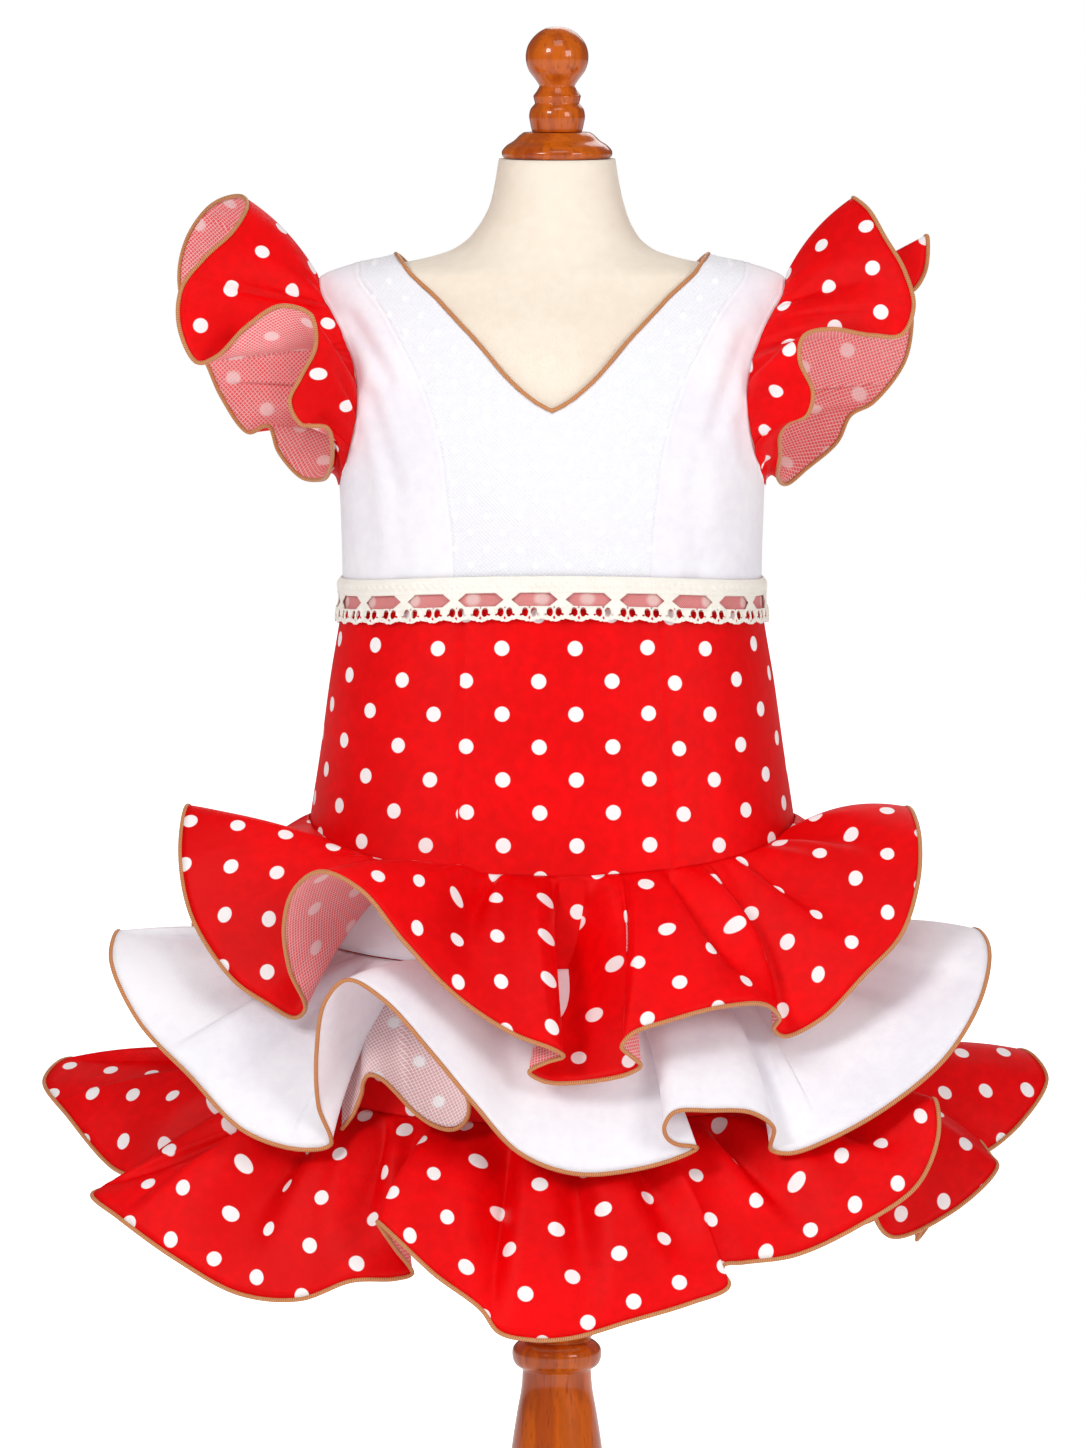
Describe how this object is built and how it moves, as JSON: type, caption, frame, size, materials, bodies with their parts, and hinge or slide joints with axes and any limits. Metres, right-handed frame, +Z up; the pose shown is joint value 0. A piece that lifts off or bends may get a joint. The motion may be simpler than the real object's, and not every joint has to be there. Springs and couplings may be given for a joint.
{
  "type": "flamenco dress on a child's dress form with a turned wooden stand",
  "caption": "Girl's flamenco dress in red with white dots: white V-neck bodice, lace waist band and tiered ruffles, worn by a limbless child's dress form on a wooden stand.",
  "frame": {"origin": "on the floor, under the middle of the stand's round base", "axes": "+Z up; the dress's front faces -Y; +X is on the right as seen from the front"},
  "size_m": [0.5404, 0.3713, 0.9525],
  "materials": {
    "red_satin": "red satin cotton with round white dots",
    "white_cotton": "plain white cotton",
    "dotted_muslin": "white muslin with small raised dots",
    "cream_lace": "cream eyelet lace",
    "pink_ribbon": "sheer dusty pink ribbon",
    "gold_piping": "tan satin cord",
    "cream_jersey": "cream jersey cover",
    "varnished_wood": "gloss varnish on turned wood",
    "white_metal": "white enamel"
  },
  "bodies": {
    "dressed_form": {"form_torso": "cream_jersey", "finial": "varnished_wood", "neck_cap": "varnished_wood", "stand_column": "varnished_wood", "stand_base": "varnished_wood", "bodice_front_center": "dotted_muslin", "bodice_front_side_L": "white_cotton", "bodice_front_side_R": "white_cotton", "bodice_back_side_L": "white_cotton", "bodice_back_side_R": "white_cotton", "bodice_back_L": "white_cotton", "bodice_back_R": "white_cotton", "skirt_front_center": "red_satin", "skirt_front_side_L": "red_satin", "skirt_front_side_R": "red_satin", "skirt_back_L": "red_satin", "skirt_back_R": "red_satin", "lace_front": "cream_lace", "lace_back": "cream_lace", "ribbon": "pink_ribbon", "neck_piping": "gold_piping", "sleeve_ruffle_L": "red_satin", "sleeve_piping_L": "gold_piping", "sleeve_ruffle_R": "red_satin", "sleeve_piping_R": "gold_piping", "tier1_ruffle": "red_satin", "tier1_piping": "gold_piping", "tier2_ruffle": "white_cotton", "tier2_piping": "gold_piping", "tier3_ruffle": "red_satin", "tier3_piping": "gold_piping", "zip_slider": "white_metal"},
    "zip_pull_tab": {"zip_pull": "white_metal"}
  },
  "joints": [
    {"name": "zip_pull_hinge", "type": "hinge", "parent": "dressed_form", "child": "zip_pull_tab", "pos_m": [-0.0026, 0.06349, 0.79248], "axis": [1, 0, 0], "range_deg": [0, 130]}
  ]
}
